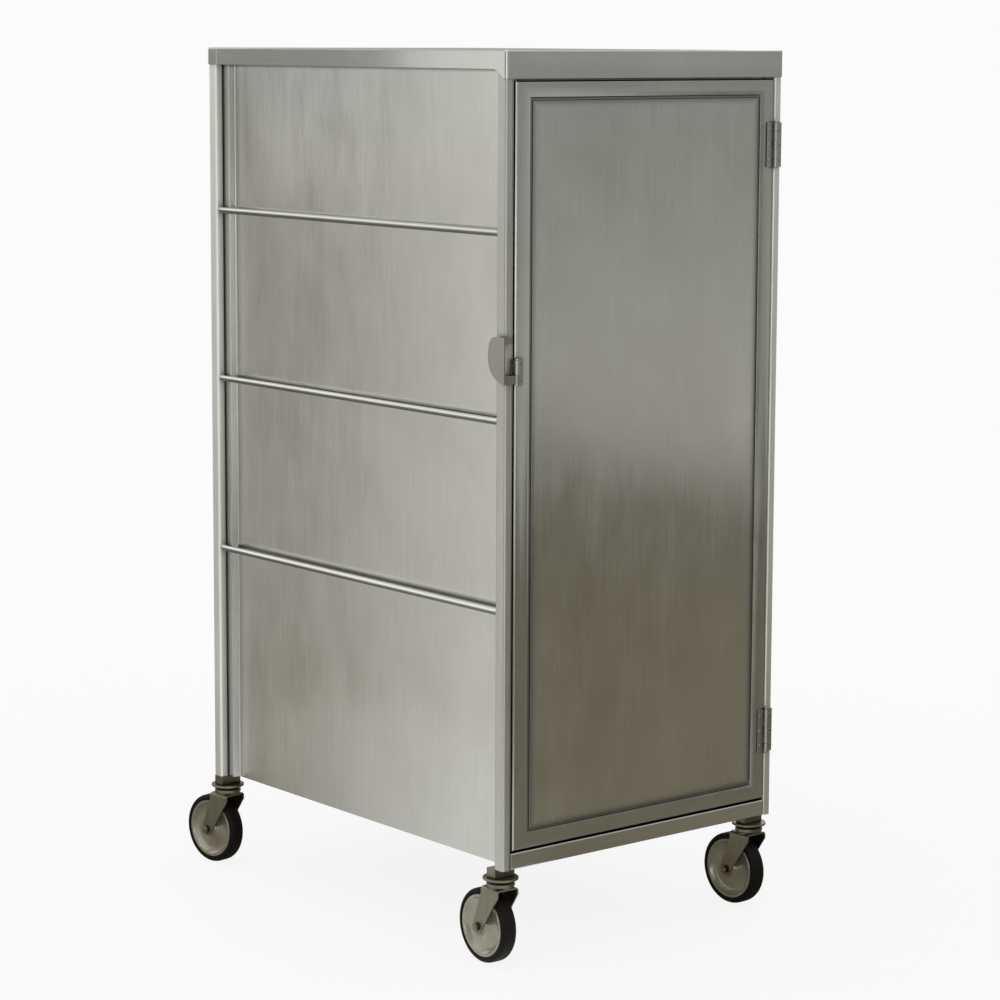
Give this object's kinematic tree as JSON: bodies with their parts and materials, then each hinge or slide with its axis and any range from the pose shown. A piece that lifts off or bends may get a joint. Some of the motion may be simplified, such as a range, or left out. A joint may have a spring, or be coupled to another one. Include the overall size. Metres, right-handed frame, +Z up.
{
  "type": "enclosed meal tray cart",
  "caption": "Tall enclosed stainless steel meal tray cart on swivel casters, with a hinged front door, a wrap-round latch, rub rods along the sides and tray ledges inside.",
  "frame": {"origin": "on the floor, under the middle of the whole outline", "axes": "+Z up, -Y out of the door side, +X to the right of someone who faces the door"},
  "size_m": [0.6334, 0.9444, 1.51],
  "materials": {
    "brushed_stainless": "stainless sheet with a faint vertical grain",
    "polished_stainless": "polished stainless bar and castings",
    "zinc_plate": "zinc plated steel",
    "hub_nylon": "moulded plastic, light grey-green",
    "tyre_rubber": "matt black rubber",
    "gasket_rubber": "dark grey sponge seal"
  },
  "bodies": {
    "cabinet": {"top_cap": "brushed_stainless", "header_rail": "brushed_stainless", "front_bottom_rail": "brushed_stainless", "rear_bottom_rail": "brushed_stainless", "corner_post_front_left": "brushed_stainless", "corner_post_front_right": "brushed_stainless", "corner_post_rear_left": "brushed_stainless", "corner_post_rear_right": "brushed_stainless", "front_jamb_left": "brushed_stainless", "front_jamb_right": "brushed_stainless", "side_panel_left": "brushed_stainless", "side_panel_right": "brushed_stainless", "rear_panel": "brushed_stainless", "floor_pan": "brushed_stainless", "ledge_rack_left": "brushed_stainless", "ledge_rack_right": "brushed_stainless", "rub_rod_left_lower": "polished_stainless", "rub_rod_left_middle": "polished_stainless", "rub_rod_left_upper": "polished_stainless", "rub_rod_right_lower": "polished_stainless", "rub_rod_right_middle": "polished_stainless", "rub_rod_right_upper": "polished_stainless", "lower_hinge_post_leaf": "polished_stainless", "lower_hinge_pin": "polished_stainless", "upper_hinge_post_leaf": "polished_stainless", "upper_hinge_pin": "polished_stainless", "latch_keeper": "polished_stainless", "foot_front_left": "brushed_stainless", "foot_front_right": "brushed_stainless", "foot_rear_left": "brushed_stainless", "foot_rear_right": "brushed_stainless", "caster_housing_front_left": "zinc_plate", "caster_housing_front_right": "zinc_plate", "caster_housing_rear_left": "zinc_plate", "caster_housing_rear_right": "zinc_plate"},
    "door": {"door_pan": "brushed_stainless", "door_liner": "brushed_stainless", "door_gasket": "gasket_rubber", "lower_hinge_door_leaf": "polished_stainless", "upper_hinge_door_leaf": "polished_stainless", "latch_base": "polished_stainless", "latch_pin": "polished_stainless"},
    "handle": {"latch_handle": "polished_stainless"},
    "caster_front_left": {"caster_fork_front_left": "zinc_plate", "wheel_axle_front_left": "zinc_plate"},
    "caster_front_right": {"caster_fork_front_right": "zinc_plate", "wheel_axle_front_right": "zinc_plate"},
    "caster_rear_left": {"caster_fork_rear_left": "zinc_plate", "wheel_axle_rear_left": "zinc_plate"},
    "caster_rear_right": {"caster_fork_rear_right": "zinc_plate", "wheel_axle_rear_right": "zinc_plate"},
    "wheel_front_left": {"wheel_hub_front_left": "hub_nylon", "wheel_tyre_front_left": "tyre_rubber"},
    "wheel_front_right": {"wheel_hub_front_right": "hub_nylon", "wheel_tyre_front_right": "tyre_rubber"},
    "wheel_rear_left": {"wheel_hub_rear_left": "hub_nylon", "wheel_tyre_rear_left": "tyre_rubber"},
    "wheel_rear_right": {"wheel_hub_rear_right": "hub_nylon", "wheel_tyre_rear_right": "tyre_rubber"}
  },
  "joints": [
    {"name": "door_swing", "type": "hinge", "parent": "cabinet", "child": "door", "pos_m": [0.29047, -0.46499, 0.287], "axis": [0, 0, 1], "range_deg": [0, 180]},
    {"name": "latch_handle_swing", "type": "hinge", "parent": "door", "child": "handle", "pos_m": [-0.28378, -0.46719, 1.016], "axis": [0, 0, 1], "range_deg": [0, 25]},
    {"name": "caster_swivel_front_left", "type": "hinge", "parent": "cabinet", "child": "caster_front_left", "pos_m": [-0.28128, -0.42919, 0.15], "axis": [0, 0, 1], "continuous": true},
    {"name": "caster_swivel_front_right", "type": "hinge", "parent": "cabinet", "child": "caster_front_right", "pos_m": [0.28672, -0.42919, 0.15], "axis": [0, 0, 1], "continuous": true},
    {"name": "caster_swivel_rear_left", "type": "hinge", "parent": "cabinet", "child": "caster_rear_left", "pos_m": [-0.28128, 0.37381, 0.15], "axis": [0, 0, 1], "continuous": true},
    {"name": "caster_swivel_rear_right", "type": "hinge", "parent": "cabinet", "child": "caster_rear_right", "pos_m": [0.28672, 0.37381, 0.15], "axis": [0, 0, 1], "continuous": true},
    {"name": "wheel_spin_front_left", "type": "hinge", "parent": "caster_front_left", "child": "wheel_front_left", "pos_m": [-0.28005, -0.39421, 0.0635], "axis": [0.9994, -0.0349, 0], "continuous": true},
    {"name": "wheel_spin_front_right", "type": "hinge", "parent": "caster_front_right", "child": "wheel_front_right", "pos_m": [0.2855, -0.39421, 0.0635], "axis": [0.9994, 0.0349, 0], "continuous": true},
    {"name": "wheel_spin_rear_left", "type": "hinge", "parent": "caster_rear_left", "child": "wheel_rear_left", "pos_m": [-0.28615, 0.40847, 0.0635], "axis": [0.9903, 0.1392, 0], "continuous": true},
    {"name": "wheel_spin_rear_right", "type": "hinge", "parent": "caster_rear_right", "child": "wheel_rear_right", "pos_m": [0.28125, 0.40838, 0.0635], "axis": [0.9877, 0.1564, 0], "continuous": true}
  ]
}
